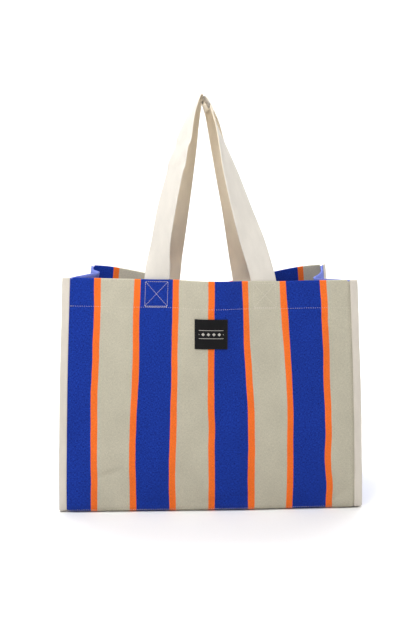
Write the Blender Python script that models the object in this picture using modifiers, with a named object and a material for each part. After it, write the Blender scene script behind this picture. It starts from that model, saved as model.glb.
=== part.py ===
"""A gusseted canvas carry bag on two long webbing handles.

The body is one strip of cloth that makes the front, the base and the back.  A gusset is sewn
into each side, and the seam allowances stand out sideways as fins under a folded tape.  The
rim is hemmed to the inside, where the ends of the handles are sewn to the hem.
Metres, +Z up, +X to the right of the front, and the front faces -Y.
"""

from math import cos, pi, radians, sin

import bmesh
import bpy
from mathutils import Vector

# Driving dimensions
PANEL_WIDTH = 0.439
PANEL_HEIGHT = 0.352
DEPTH = 0.200
FIN_WIDTH = 0.012
HEM_DEPTH = 0.043
WEBBING_WIDTH = 0.038
HANDLE_RISE = 0.268
STRAP_AT = 0.090
LABEL_WIDTH = 0.050
LABEL_HEIGHT = 0.045
LABEL_DROP = 0.0580

# Materials' thicknesses, and the gap left between pieces that touch
CLOTH = 0.0010
TAPE = 0.0006
WEBBING = 0.0020
LABEL_CLOTH = 0.0008
THREAD = 0.0005
GAP = 0.0003

# The shape that the cloth takes while its handles are drawn up over its middle
FRONT_LEAN = 0.037
FRONT_INSET = 0.0095
FRONT_BOW = 0.026
FRONT_BOW_START = 0.640 * PANEL_HEIGHT
BACK_INSET = 0.0245
BACK_WIDE_BOW = 0.034
BACK_NARROW_BOW = 0.040
BACK_BOW_START = 0.350 * PANEL_HEIGHT
BACK_DROP = 0.022
BOW_REACH = STRAP_AT - WEBBING_WIDTH / 2
PLEAT = 0.045
BASE_RADIUS = 0.008

# Spacing between the layers of a seam and of the hem
FIN_STEP = 0.0018
SEAM_BLEND = 0.006
LAYER = CLOTH + GAP
HEM_STEP = 0.0017
HEM_MARGIN = 0.004
TAPE_STEP = (CLOTH + TAPE) / 2 + GAP
THREAD_STEP = (CLOTH + THREAD) / 2 + 2 * GAP
LABEL_STEP = (CLOTH + LABEL_CLOTH) / 2 + 3 * GAP
STITCH_INSET = 0.0030

# Mesh divisions
BOWED_COLUMNS = 20
PLAIN_COLUMNS = 5
HEM_ROWS = 3
UPPER_ROWS = 6
LOWER_ROWS = 5
BASE_ROWS = 6
ARC_ROWS = 4
LOOP_COLUMNS = 4
LOOP_ROWS = 48

BLUE = (0.016, 0.038, 0.250)
GUSSET_BLUE = (0.085, 0.115, 0.400)
NATURAL = (0.720, 0.660, 0.570)
WEBBING_CREAM = (0.820, 0.760, 0.660)
BLACK = (0.008, 0.007, 0.009)

FRONT, BACK = -1, 1
LEFT, RIGHT = -1, 1
SIDE_NAMES = {LEFT: "left", RIGHT: "right"}
WALL_NAMES = {FRONT: "front", BACK: "back"}


def ease(t):
    t = min(max(t, 0.0), 1.0)
    return t * t * (3 - 2 * t)


def steps_between(first, last, count):
    return [first + (last - first) * k / count for k in range(count + 1)]


def material(name, colour, roughness):
    made = bpy.data.materials.new(name)
    made.use_nodes = True
    shader = made.node_tree.nodes["Principled BSDF"]
    shader.inputs["Base Color"].default_value = (*colour, 1)
    shader.inputs["Roughness"].default_value = roughness
    shader.inputs["Metallic"].default_value = 0
    made.diffuse_color = (*colour, 1)
    return made


def add_object(name, data, finish):
    made = bpy.data.objects.new(name, data)
    data.materials.append(finish)
    PARTS.objects.link(made)
    return made


def cloth_object(name, bm, thickness, finish):
    """A sheet's middle surface, thickened evenly to both sides."""
    mesh = bpy.data.meshes.new(name)
    bmesh.ops.recalc_face_normals(bm, faces=bm.faces)
    bm.to_mesh(mesh)
    bm.free()
    mesh.shade_smooth()
    mesh.set_sharp_from_angle(angle=radians(40))
    made = add_object(name, mesh, finish)
    solidify = made.modifiers.new("Thickness", "SOLIDIFY")
    solidify.thickness = thickness
    solidify.offset = 0
    solidify.use_even_offset = True
    return made


def grid(columns, rows, place):
    """A grid whose vertex in column i and row j goes to place(i, j)."""
    bm = bmesh.new()
    bmesh.ops.create_grid(bm, x_segments=columns, y_segments=rows, size=1)
    for vertex in bm.verts:
        i = round((vertex.co.x + 1) * columns / 2)
        j = round((vertex.co.y + 1) * rows / 2)
        vertex.co = place(i, j)
    return bm


def thread(name, points, finish):
    curve = bpy.data.curves.new(name, "CURVE")
    curve.dimensions = "3D"
    curve.bevel_depth = THREAD / 2
    curve.bevel_resolution = 1
    curve.use_fill_caps = True
    spline = curve.splines.new("POLY")
    spline.points.add(len(points) - 1)
    for point, place in zip(spline.points, points):
        point.co = (*place, 1)
    return add_object(name, curve, finish)


# The shape of the walls


def lift(z):
    """How much of the rim's change of shape a height has."""
    return (max(z, 0) / PANEL_HEIGHT) ** 1.5


def depth_at(wall, z):
    """How far a wall's side edges stand from the bag's middle."""
    return DEPTH / 2 - (FRONT_LEAN * lift(z) if wall == FRONT else 0)


def corner_x(wall, z):
    """Half the distance between a wall's two side seams."""
    inset = {FRONT: FRONT_INSET, BACK: BACK_INSET, 0: 0}[wall]
    return PANEL_WIDTH / 2 - inset * lift(z)


def raised(u, reach):
    """1 on the centre line, falling smoothly to 0 at reach."""
    return cos(pi / 2 * min(abs(u) / reach, 1)) ** 2


def bow(wall, u, z):
    """How far the cloth stands out of the wall's plane: out at the front, in at the back."""
    if wall == FRONT:
        share = ease((z - FRONT_BOW_START) / (PANEL_HEIGHT - FRONT_BOW_START))
        return FRONT_BOW * share * raised(u, BOW_REACH)
    share = ease((z - BACK_BOW_START) / (PANEL_HEIGHT - BACK_BOW_START))
    inward = BACK_WIDE_BOW * raised(u, PANEL_WIDTH / 2) + BACK_NARROW_BOW * raised(u, BOW_REACH)
    return -share * inward


def wall_middle(wall, u, z):
    """A point on the middle of the body cloth, u from its centre line."""
    drawn = (PANEL_WIDTH / 2 - corner_x(wall, z)) * min(abs(u) / STRAP_AT, 1)
    x = u - drawn * (1 if u > 0 else -1)
    drop = BACK_DROP * lift(z) * raised(u, PANEL_WIDTH / 2) if wall == BACK else 0
    return Vector((x, wall * (depth_at(wall, z) + bow(wall, u, z)), z - drop))


def wall_point(wall, u, z, inward=0.0):
    """A point of a wall, moved into the bag from the middle of the body cloth."""
    step = 1e-3
    along = wall_middle(wall, u + step, z) - wall_middle(wall, u - step, z)
    normal = Vector((-wall * along.y, wall * along.x, 0)).normalized()
    return wall_middle(wall, u, z) - normal * inward


def wall_heights():
    """The rows of a wall from the rim down to where the base corner starts to turn."""
    rim = PANEL_HEIGHT - CLOTH / 2
    hem = steps_between(rim, rim - HEM_DEPTH, HEM_ROWS)
    upper = steps_between(rim - HEM_DEPTH, FRONT_BOW_START, UPPER_ROWS)
    lower = steps_between(FRONT_BOW_START, BASE_RADIUS + CLOTH / 2, LOWER_ROWS)
    return hem + upper[1:] + lower[1:]


def profile(inward):
    """(wall, y, z) from the front rim down, across the base and up to the back rim."""
    low = CLOTH / 2
    middle_y = DEPTH / 2 - BASE_RADIUS
    middle_z = low + BASE_RADIUS
    radius = BASE_RADIUS - inward
    turn = [radians(90 * k / ARC_ROWS) for k in range(1, ARC_ROWS + 1)]
    rows = [(FRONT, inward - depth_at(FRONT, z), z) for z in wall_heights()]
    rows += [(0, -middle_y - radius * cos(a), middle_z - radius * sin(a)) for a in turn]
    flat = steps_between(-middle_y, middle_y, BASE_ROWS)[1:-1]
    rows += [(0, y, low + inward) for y in flat]
    rows += [(0, middle_y + radius * cos(a), middle_z - radius * sin(a)) for a in reversed(turn)]
    return rows + [(BACK, depth_at(BACK, z) - inward, z) for z in reversed(wall_heights())]


def panel_columns():
    """Positions across a wall between its side seams, closer together where it bows."""
    flat = PANEL_WIDTH / 2 - SEAM_BLEND
    plain = steps_between(-flat, -STRAP_AT, PLAIN_COLUMNS)
    bowed = steps_between(-STRAP_AT, STRAP_AT, BOWED_COLUMNS)
    return plain + bowed[1:-1] + [-u for u in reversed(plain)]


def strip_columns():
    """Positions across the body strip, with its fins, and how far each is drawn inward."""
    edge = PANEL_WIDTH / 2 + FIN_WIDTH - TAPE - GAP
    left = [(-edge, FIN_STEP), (-PANEL_WIDTH / 2, FIN_STEP)]
    right = [(-u, inward) for u, inward in reversed(left)]
    return left + [(u, 0.0) for u in panel_columns()] + right


def strip_place(u, inward, row):
    wall, y, z = profile(inward)[row]
    if wall == 0:
        return Vector((u, y, z))
    return wall_point(wall, u, z, inward)


def extrude(bm, edges):
    """Grows a row of faces from these edges and returns its new vertices."""
    grown = bmesh.ops.extrude_edge_only(bm, edges=edges)["geom"]
    return [item for item in grown if isinstance(item, bmesh.types.BMVert)]


def edges_between(verts):
    wanted = set(verts)
    edges = {edge for vertex in wanted for edge in vertex.link_edges}
    return sorted((e for e in edges if wanted.issuperset(e.verts)), key=lambda e: e.index)


# Pieces of cloth


def body_cloth(finish):
    """The strip that makes both walls and the base, with its hems folded to the inside."""
    columns = strip_columns()
    rows = len(profile(0)) - 1
    places = {}

    def place(i, j):
        u, inward = columns[i]
        point = strip_place(u, inward, j)
        if j in (0, rows) and abs(u) < PANEL_WIDTH / 2 - SEAM_BLEND / 2:
            places[FRONT if j == 0 else BACK, i] = point
        return point

    bm = grid(len(columns) - 1, rows, place)
    bm.verts.ensure_lookup_table()
    for wall in (FRONT, BACK):
        rim = [(point, columns[i][0]) for (side, i), point in places.items() if side == wall]
        across = {}
        for point, u in rim:
            across[min(bm.verts, key=lambda v: (v.co - point).length)] = u
        for z in wall_heights()[:HEM_ROWS + 1]:
            edges = edges_between(across)
            fresh = extrude(bm, edges)
            matched = {}
            for vertex in fresh:
                source = min(across, key=lambda v: (v.co - vertex.co).length)
                matched[vertex] = across[source]
            for vertex, u in matched.items():
                vertex.co = wall_point(wall, u, z, HEM_STEP)
            across = matched
    return cloth_object("body_cloth", bm, CLOTH, finish)


def gusset_x(y, z):
    """Half the distance between the two gussets, which fold in midway between the walls."""
    front_y, back_y = -depth_at(FRONT, z), depth_at(BACK, z)
    across = min(max((y - front_y) / (back_y - front_y), 0), 1)
    seam = (1 - across) * corner_x(FRONT, z) + across * corner_x(BACK, z)
    return seam - PLEAT * ease(z / PANEL_HEIGHT) * (1 - abs(2 * across - 1))


def gusset_boundary():
    """The seam line of a gusset as three runs that meet at the base corners' middles."""
    line = [(y, z) for _, y, z in profile(FIN_STEP + LAYER)]
    corner = len(wall_heights()) - 1 + ARC_ROWS // 2
    front = line[corner::-1]
    base = line[corner:len(line) - corner]
    back = line[-corner - 1:]
    return front, base, back


def coons(front, base, back, i, j):
    """A point inside the gusset, blended from its seam line and its straight rim."""
    a = i / (len(base) - 1)
    b = j / (len(front) - 1)
    blended = []
    for k in (0, 1):
        rim = (1 - a) * front[-1][k] + a * back[-1][k]
        sides = (1 - a) * front[j][k] + a * back[j][k]
        ends = (1 - b) * base[i][k] + b * rim
        corners = (1 - b) * ((1 - a) * base[0][k] + a * base[-1][k]) + b * rim
        blended.append(sides + ends - corners)
    return blended


def gusset_point(side, i, j):
    y, z = coons(*gusset_boundary(), i, j)
    return Vector((side * gusset_x(y, z), y, z))


def gusset(side, finish):
    """A side panel: its three sewn edges turn outward as a flange, and its rim is hemmed."""
    front, base, _ = gusset_boundary()
    columns, rows = len(base) - 1, len(front) - 1
    bm = grid(columns, rows, lambda i, j: gusset_point(side, i, j))
    corner = [v for v in bm.verts if v.is_boundary]
    rim = [v for v in corner if v.co.z > PANEL_HEIGHT - CLOTH]
    sewn = [v for v in corner if v not in rim or len(v.link_edges) == 2]
    fin = FIN_WIDTH - TAPE - GAP
    for vertex in extrude(bm, [e for e in edges_between(sewn) if e.is_boundary]):
        vertex.co.x += side * fin
    hem_rim(bm, side, rim)
    return cloth_object(f"{SIDE_NAMES[side]}_gusset", bm, CLOTH, finish)


def hem_rim(bm, side, rim):
    """Folds the gusset's rim inward and down, clear of the body cloth's hems."""
    margin = HEM_MARGIN + HEM_STEP
    low, high = margin - depth_at(FRONT, PANEL_HEIGHT), depth_at(BACK, PANEL_HEIGHT) - margin
    edges = [e for e in edges_between(rim) if all(low < v.co.y < high for v in e.verts)]
    for z in wall_heights()[:HEM_ROWS + 1]:
        fresh = extrude(bm, edges)
        for vertex in fresh:
            vertex.co.x = side * (gusset_x(vertex.co.y, z) - 1.2 * HEM_STEP)
            vertex.co.z = z
        edges = edges_between(fresh)


def binding_tape(side, finish):
    """A tape folded over the fin of a side seam, from the front rim to the back rim."""
    outer = FIN_STEP - TAPE_STEP
    inner = FIN_STEP + LAYER + TAPE_STEP
    fold = FIN_WIDTH - TAPE / 2
    near_wall = CLOTH / 2 + TAPE / 2 + GAP
    section = [(0.0, outer), (fold / 2, outer), (fold, outer), (fold, inner), (near_wall, inner)]
    lines = [profile(inward) for _, inward in section]

    def place(i, j):
        out, _ = section[i]
        wall, y, z = lines[i][j]
        return Vector((side * (corner_x(wall, z) + out), y, z))

    bm = grid(len(section) - 1, len(lines[0]) - 1, place)
    return cloth_object(f"{SIDE_NAMES[side]}_binding_tape", bm, TAPE, finish)


def woven_label(finish):
    """A label on the front, curved with the cloth under it."""
    columns, rows = 6, 4
    top = PANEL_HEIGHT - LABEL_DROP

    def place(i, j):
        u = LABEL_WIDTH * (i / columns - 0.5)
        return wall_point(FRONT, u, top - LABEL_HEIGHT * j / rows, -LABEL_STEP)

    return cloth_object("woven_label", grid(columns, rows, place), LABEL_CLOTH, finish)


# Handles


def strap_inward():
    """From the body cloth's middle to the middle of the webbing sewn inside the hem."""
    return HEM_STEP + CLOTH / 2 + 1.5 * GAP + WEBBING / 2


def strap_end(wall, side, finish):
    """The end of a handle, sewn flat to the inside of the hem."""
    low = PANEL_HEIGHT - HEM_DEPTH + 0.0015
    columns, rows = 4, 4

    def place(i, j):
        u = side * STRAP_AT + WEBBING_WIDTH * (i / columns - 0.5)
        z = low + (PANEL_HEIGHT - low) * j / rows
        return wall_point(wall, u, z, strap_inward())

    name = f"{WALL_NAMES[wall]}_{SIDE_NAMES[side]}_strap_end"
    return cloth_object(name, grid(columns, rows, place), WEBBING, finish)


def handle_loop(wall, finish):
    """A handle above the rim: flat against the wall at its feet and on edge at its top."""
    foot = wall_point(wall, STRAP_AT, PANEL_HEIGHT + 2 * GAP, strap_inward())
    top = Vector((0, wall * (WEBBING_WIDTH / 2 + GAP), PANEL_HEIGHT + HANDLE_RISE))
    leaning = Vector((0, top.y - foot.y, top.z - foot.z))
    height = leaning.length
    leaning.normalize()
    plane_normal = leaning.cross(Vector((1, 0, 0)))
    reach = [(foot.x, 0.0), (foot.x - 0.012, 0.100), (0.016, height), (0.0, height)]

    def centre(t):
        weights = ((1 - t) ** 3, 3 * t * (1 - t) ** 2, 3 * t * t * (1 - t), t**3)
        x = sum(w * p[0] for w, p in zip(weights, reach))
        h = sum(w * p[1] for w, p in zip(weights, reach))
        return Vector((x, foot.y, foot.z)) + leaning * h

    def place(i, j):
        share = 2 * j / LOOP_ROWS - 1
        hand = 1 if share > 0 else -1
        t = 1 - abs(share)
        offset = WEBBING_WIDTH * (i / LOOP_COLUMNS - 0.5) * hand
        ahead = centre(min(t + 1e-3, 1)) - centre(max(t - 1e-3, 0))
        level = ahead.cross(plane_normal).normalized()
        level = level if level.x > 0 else -level
        turn = pi / 2 * (1.25 * t - 0.25 * t * t)
        free = centre(t) + (level * cos(turn) + plane_normal * hand * sin(turn)) * offset
        sewn = wall_point(wall, STRAP_AT + offset, PANEL_HEIGHT + 2 * GAP, strap_inward())
        point = (sewn + centre(t) - centre(0)).lerp(free, ease(t / 0.3))
        return Vector((hand * point.x, point.y, point.z))

    bm = grid(LOOP_COLUMNS, LOOP_ROWS, place)
    return cloth_object(f"{WALL_NAMES[wall]}_handle_loop", bm, WEBBING, finish)


# Stitching


def hem_stitch(wall, finish):
    """The thread row that holds a wall's hem."""
    z = PANEL_HEIGHT - HEM_DEPTH + STITCH_INSET / 2
    points = [wall_point(wall, u, z, -THREAD_STEP) for u in panel_columns()]
    return thread(f"{WALL_NAMES[wall]}_hem_stitch", points, finish)


def gusset_hem_stitch(side, finish):
    z = PANEL_HEIGHT - HEM_DEPTH + STITCH_INSET / 2
    low, high = 2 * HEM_MARGIN - depth_at(FRONT, z), depth_at(BACK, z) - 2 * HEM_MARGIN
    middle = (depth_at(BACK, z) - depth_at(FRONT, z)) / 2
    across = steps_between(low, middle, 4) + steps_between(middle, high, 4)[1:]
    points = [Vector((side * (gusset_x(y, z) + 1.2 * THREAD_STEP), y, z)) for y in across]
    return thread(f"{SIDE_NAMES[side]}_gusset_hem_stitch", points, finish)


def base_stitch(wall, finish):
    """The edge stitching that holds the crease between a wall and the base."""
    z = BASE_RADIUS + CLOTH
    reach = PANEL_WIDTH / 2 - SEAM_BLEND
    points = [wall_point(wall, reach * (k / 2 - 1), z, -THREAD_STEP) for k in range(5)]
    return thread(f"{WALL_NAMES[wall]}_base_stitch", points, finish)


def binding_stitch(side, finish):
    """The thread through both legs of a binding tape, near its inner edge."""
    out = FIN_STEP - TAPE_STEP - (TAPE + THREAD) / 2 - GAP
    run = profile(out)[1:-1]
    points = [Vector((side * (corner_x(wall, z) + STITCH_INSET), y, z)) for wall, y, z in run]
    return thread(f"{SIDE_NAMES[side]}_binding_stitch", points, finish)


def box_stitch(wall, side, finish):
    """A crossed box of thread that fastens a strap end, seen on the outside of the hem."""
    half_width = WEBBING_WIDTH / 2 - STITCH_INSET / 2
    half_height = (HEM_DEPTH - 2 * STITCH_INSET) / 2
    middle = PANEL_HEIGHT - HEM_DEPTH / 2 + STITCH_INSET / 2
    bm = bmesh.new()
    bmesh.ops.create_grid(bm, x_segments=1, y_segments=1, size=1)
    bmesh.ops.poke(bm, faces=bm.faces[:])
    out = -THREAD_STEP - 2 * GAP
    for vertex in bm.verts:
        u = side * STRAP_AT + vertex.co.x * half_width
        vertex.co = wall_point(wall, u, middle + vertex.co.y * half_height, out)
    name = f"{WALL_NAMES[wall]}_{SIDE_NAMES[side]}_box_stitch"
    mesh = bpy.data.meshes.new(name)
    bm.to_mesh(mesh)
    bm.free()
    made = add_object(name, mesh, finish)
    wires = made.modifiers.new("Threads", "WIREFRAME")
    wires.thickness = THREAD
    wires.use_even_offset = True
    wires.use_boundary = True
    return made


def label_stitch(finish):
    """The thread around the label, just inside its edge."""
    out = -LABEL_STEP - (LABEL_CLOTH + THREAD) / 2 - 2 * GAP
    top = PANEL_HEIGHT - LABEL_DROP - STITCH_INSET / 2
    low = top - LABEL_HEIGHT + STITCH_INSET
    half = (LABEL_WIDTH - STITCH_INSET) / 2
    columns = 4
    across = [half * (2 * k / columns - 1) for k in range(columns + 1)]
    points = [wall_point(FRONT, u, top, out) for u in across]
    points += [wall_point(FRONT, half, (top + low) / 2, out)]
    points += [wall_point(FRONT, u, low, out) for u in reversed(across)]
    points += [wall_point(FRONT, -half, z, out) for z in ((top + low) / 2, top - 3 * THREAD)]
    return thread("label_stitch", points, finish)


def build():
    canvas = material("striped_canvas", BLUE, 0.85)
    plain = material("blue_canvas", GUSSET_BLUE, 0.85)
    tape = material("binding_cotton", NATURAL, 0.85)
    webbing = material("webbing_cotton", WEBBING_CREAM, 0.8)
    label = material("label_weave", BLACK, 0.7)
    natural_thread = material("natural_thread", NATURAL, 0.7)
    black_thread = material("black_thread", BLACK, 0.6)
    body_cloth(canvas)
    woven_label(label)
    label_stitch(black_thread)
    for side in (LEFT, RIGHT):
        gusset(side, plain)
        binding_tape(side, tape)
        binding_stitch(side, natural_thread)
        gusset_hem_stitch(side, natural_thread)
    for wall in (FRONT, BACK):
        handle_loop(wall, webbing)
        hem_stitch(wall, natural_thread)
        base_stitch(wall, natural_thread)
        for side in (LEFT, RIGHT):
            strap_end(wall, side, webbing)
            box_stitch(wall, side, natural_thread)


for leftover in list(bpy.data.objects):
    bpy.data.objects.remove(leftover, do_unlink=True)
PARTS = bpy.data.collections.new("gusseted_carry_bag")
bpy.context.scene.collection.children.link(PARTS)
build()
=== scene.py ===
"""Looks of the striped carry bag: cloth, webbing, tape, thread, light and camera.

Cloth is described by u, across from its centre line, and s, along it, both in metres.
"""

from math import cos, pi, radians, sin

import bmesh
import bpy
import numpy as np
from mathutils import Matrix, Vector


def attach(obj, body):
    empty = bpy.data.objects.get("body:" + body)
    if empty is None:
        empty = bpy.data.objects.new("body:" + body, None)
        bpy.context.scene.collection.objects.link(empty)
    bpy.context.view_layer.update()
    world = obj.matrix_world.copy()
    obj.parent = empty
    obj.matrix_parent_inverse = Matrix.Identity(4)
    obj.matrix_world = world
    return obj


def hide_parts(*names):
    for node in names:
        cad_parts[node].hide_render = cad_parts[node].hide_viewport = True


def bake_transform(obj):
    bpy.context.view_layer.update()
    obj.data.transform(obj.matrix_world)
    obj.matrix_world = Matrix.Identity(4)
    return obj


# Cut sizes of the cloth pieces
WIDTH = 0.439
HEIGHT = 0.352
DEPTH = 0.200
CORNER = 0.008
FIN = 0.012
HEM = 0.043
STRAP = 0.038
STRAP_AT = 0.090
LABEL_W, LABEL_H, LABEL_DROP = 0.0510, 0.0455, 0.0568

CLOTH = 0.0010
TAPE = 0.0007
WEBBING = 0.0022
LABEL_CLOTH = 0.0008
THREAD = 0.00055
GAP = 0.0003
FIN_STEP = 0.0018
SEAM_BLEND = 0.006
HEM_STEP = 0.0018
WEB_STEP = HEM_STEP + CLOTH / 2 + GAP + WEBBING / 2

WALL = HEIGHT - CORNER
ARC = pi * CORNER / 2
BASE = DEPTH - 2 * CORNER
TOTAL = 2 * (WALL + ARC) + BASE

# The shape that the cloth takes under its drawn-up handles
FRONT_LEAN, FRONT_INSET, FRONT_BOW = 0.037, 0.0095, 0.020
BACK_INSET, BACK_WIDE, BACK_NARROW, BACK_DROP = 0.0245, 0.034, 0.040, 0.028
BOW_REACH = 0.075
RIM_U = (-0.2195, -0.190, -0.150, -0.090, 0.0, 0.070, 0.115, 0.150, 0.2195)
RIM_Z = (0.3535, 0.3525, 0.3512, 0.3497, 0.3492, 0.3465, 0.3463, 0.3473, 0.3482)
# Small folds in the front wall: u, s, half width, half height, depth, slant
DENTS = ((-0.152, 0.292, 0.016, 0.005, 0.0024, -0.30), (0.186, 0.292, 0.012, 0.010, 0.0026, 0.5),
         (0.190, 0.066, 0.028, 0.005, 0.0020, 0.55), (0.196, 0.331, 0.016, 0.006, 0.0024, -0.6),
         (0.020, 0.334, 0.040, 0.005, 0.0014, -0.12), (-0.205, 0.055, 0.010, 0.030, 0.0016, 0.1),
         (0.120, 0.070, 0.030, 0.006, 0.0009, 0.3), (0.075, 0.200, 0.050, 0.010, 0.0007, 0.2),
         (-0.100, 0.335, 0.030, 0.005, 0.0012, 0.1))
# Where the stripes lie off their even places: u, half width, s, half length, shift
STRAYS = ((-0.150, 0.050, 0.235, 0.065, 0.0022), (0.090, 0.045, 0.215, 0.070, -0.0036),
          (0.180, 0.020, 0.267, 0.022, 0.0024), (0.180, 0.020, 0.314, 0.015, -0.0013))
FRONT, BACK = -1, 1
LEFT, RIGHT = -1, 1
WALL_NAMES = {FRONT: "front", BACK: "back"}
SIDE_NAMES = {LEFT: "left", RIGHT: "right"}
RIM_S = {FRONT: 0.0, BACK: TOTAL}
INTO = {FRONT: 1, BACK: -1}
# The places of the two strap feet along each rim
FEET = {FRONT: (-STRAP_AT, STRAP_AT), BACK: (-STRAP_AT, STRAP_AT - 0.008)}
# Steps for taking slopes of the cloth and of the gussets
SLOPE_STEP = 4e-4
GUSSET_SLOPE_STEP = 2e-3
NEAR_RIM = 1e-3


def ease(t):
    """0 up to t = 0, 1 from t = 1, and smooth between."""
    t = np.clip(t, 0.0, 1.0)
    return t * t * (3 - 2 * t)


def raised(u, reach):
    """1 on the centre line, falling smoothly to 0 at that reach."""
    return np.cos(pi / 2 * np.clip(np.abs(u) / reach, 0, 1)) ** 2


def bump(a, b, width):
    """1 where a equals b, falling smoothly away over about that width."""
    return np.exp(-(((a - b) / width) ** 2))


def waves(u, v, seed, cell_u, cell_v):
    """Smooth random values from -1 to 1 over cells of that size."""
    table = np.random.RandomState(seed).uniform(-1, 1, (64, 64))
    x, y = u / cell_u + 32.5, v / cell_v + 8.5
    i, j = np.floor(x).astype(int), np.floor(y).astype(int)
    fx, fy = ease(x - i), ease(y - j)

    def pick(a, b):
        return table[a % 64, b % 64]

    low = pick(i, j) * (1 - fx) + pick(i + 1, j) * fx
    high = pick(i, j + 1) * (1 - fx) + pick(i + 1, j + 1) * fx
    return low * (1 - fy) + high * fy


# Body cloth


def profile(s):
    """y and z of the plain box section at s from the front rim."""
    s = np.asarray(s, float)
    back = s > TOTAL / 2
    t = np.where(back, TOTAL - s, s)
    turn = np.clip((t - WALL) / CORNER, 0, pi / 2)
    y = -DEPTH / 2 + CORNER * (1 - np.cos(turn)) + np.maximum(t - WALL - ARC, 0)
    z = np.where(t < WALL, HEIGHT - t, CORNER * (1 - np.sin(turn)))
    return np.where(back, -y, y), z + CLOTH / 2


def gathered(u):
    """The share of a wall's inset that lies between its centre line and u."""
    part = np.clip(np.abs(u) / BOW_REACH, 0, 1)
    return np.sign(u) * (part - np.sin(2 * pi * part) / (2 * pi))


def front_shape(u, y, z):
    """Leans the front wall back, draws it in and bows it out between its straps."""
    lift = (np.clip(z, 0, None) / HEIGHT) ** 1.5
    share = ease((z - 0.45 * HEIGHT) / (0.55 * HEIGHT))
    out = FRONT_BOW * share * raised(u, BOW_REACH)
    out += 0.0035 * ease(z / 0.10) * ease((0.30 - z) / 0.2) * raised(u, WIDTH / 2)
    edge = ease((0.12 - z) / 0.12) * ease(-y / 0.1)
    out = out + edge * (0.0015 + 0.0045 * (1 - ease((u - 0.02) / 0.18)))
    x = u - FRONT_INSET * lift * gathered(u)
    y = y + FRONT_LEAN * lift - out
    z = z + (np.interp(u, RIM_U, RIM_Z) - HEIGHT) * (z / HEIGHT) ** 2
    return x, y, z


def back_shape(u, y, z):
    """Draws the back wall in and forward under its straps."""
    lift = (np.clip(z, 0, None) / HEIGHT) ** 1.5
    share = ease((z - 0.35 * HEIGHT) / (0.65 * HEIGHT))
    inward = BACK_WIDE * raised(u, WIDTH / 2) + BACK_NARROW * raised(u, STRAP_AT - STRAP / 2)
    x = u - BACK_INSET * lift * gathered(u)
    return x, y - share * inward, z - BACK_DROP * lift * raised(u, WIDTH / 2) ** 0.85


def slack(u, s):
    """How far the cloth stands out of its smooth shape."""
    t = np.where(s > TOTAL / 2, TOTAL - s, s)
    calm = ease((WIDTH / 2 - np.abs(u)) / 0.03) * ease((WALL - t) / 0.03)
    soft = 0.0016 * waves(u, s, 3, 0.085, 0.110) + 0.0007 * waves(u, s, 5, 0.030, 0.060)
    pulls = 0.0012 * bump(np.abs(u), STRAP_AT + 0.02, 0.010) * ease((t - 0.03) / 0.03)
    pulls = pulls * ease((0.20 - t) / 0.12)
    hem = 0.0006 * bump(t, HEM - 0.001, 0.0025)
    folds = 0.0
    for u0, s0, wide, high, depth, slant in DENTS:
        folds = folds + depth * bump(u, u0, wide) * bump(s - slant * (u - u0), s0, high)
    return calm * (soft - pulls) - folds - hem * ease((t + 0.005) / 0.01)


def shaped(u, s):
    """The body cloth's smooth middle surface."""
    u, s = np.broadcast_arrays(np.asarray(u, float), np.asarray(s, float))
    y, z = profile(s)
    front, back = front_shape(u, y, z), back_shape(u, y, z)
    return np.stack([np.where(s < TOTAL / 2, a, b) for a, b in zip(front, back)], -1)


def normal_of(place, u, s, step=SLOPE_STEP):
    """The direction into the bag, square to the cloth."""
    along = place(u + step, s) - place(u - step, s)
    down = place(u, s + step) - place(u, s - step)
    n = np.cross(along, down)
    return n / np.linalg.norm(n, axis=-1, keepdims=True)


def rough(u, s):
    """The cloth's middle surface with its slackness."""
    return shaped(u, s) - normal_of(shaped, u, s) * slack(u, s)[..., None]


def body(u, s, inward=0.0):
    """A point of the body cloth, moved into the bag from its middle surface."""
    u, s, inward = np.broadcast_arrays(*(np.asarray(v, float) for v in (u, s, inward)))
    kept = np.clip(s, NEAR_RIM, TOTAL - NEAR_RIM)
    normal = normal_of(shaped, u, kept)
    beyond = (s - kept)[..., None] * tangent(u, kept)
    return rough(u, kept) + beyond + normal * inward[..., None]


def tangent(u, s):
    d = shaped(u, s + SLOPE_STEP) - shaped(u, s - SLOPE_STEP)
    return d / np.linalg.norm(d, axis=-1, keepdims=True)


# Mesh making


def mesh_object(name, verts, faces, cloth=None):
    """A smooth mesh with its cloth coordinates as a point attribute."""
    mesh = bpy.data.meshes.new(name)
    mesh.from_pydata([tuple(map(float, v)) for v in verts], [], faces)
    mesh.validate()
    if cloth is not None:
        layer = mesh.attributes.new("cloth", "FLOAT_VECTOR", "POINT")
        flat = np.zeros((len(verts), 3), np.float32)
        flat[:, :cloth.shape[1]] = cloth
        layer.data.foreach_set("vector", flat.ravel())
    mesh.shade_smooth()
    made = bpy.data.objects.new(name, mesh)
    bpy.context.scene.collection.objects.link(made)
    return made


def grid_faces(columns, rows, keep=None):
    """Faces of a grid of vertices stored column by column."""
    faces = []
    for i in range(columns - 1):
        for j in range(rows - 1):
            if keep is None or keep(i, j):
                a = i * rows + j
                faces.append((a, a + 1, a + rows + 1, a + rows))
    return faces


def thicken(made, thickness):
    solid = made.modifiers.new("thickness", "SOLIDIFY")
    solid.thickness = thickness
    solid.offset = 0
    solid.use_even_offset = True


def finish_piece(made, material, slot, nodes):
    made.data.materials.append(material)
    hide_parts(*nodes)


def finish_bag_piece(made, material, slot, nodes):
    finish_piece(made, material, slot, nodes)
    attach(made, "bag")


def stripe_drift(u, s):
    """How far the woven stripes stray from their even places."""
    left = -0.0021 * bump(u, -0.17, 0.07)
    right = 0.0024 * bump(u, 0.14, 0.07) * (1 - ease(s / 0.15))
    drift = left + right
    for u0, wide, s0, long, shift in STRAYS:
        drift = drift + shift * bump(u, u0, wide) * bump(s, s0, long)
    return drift


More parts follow.
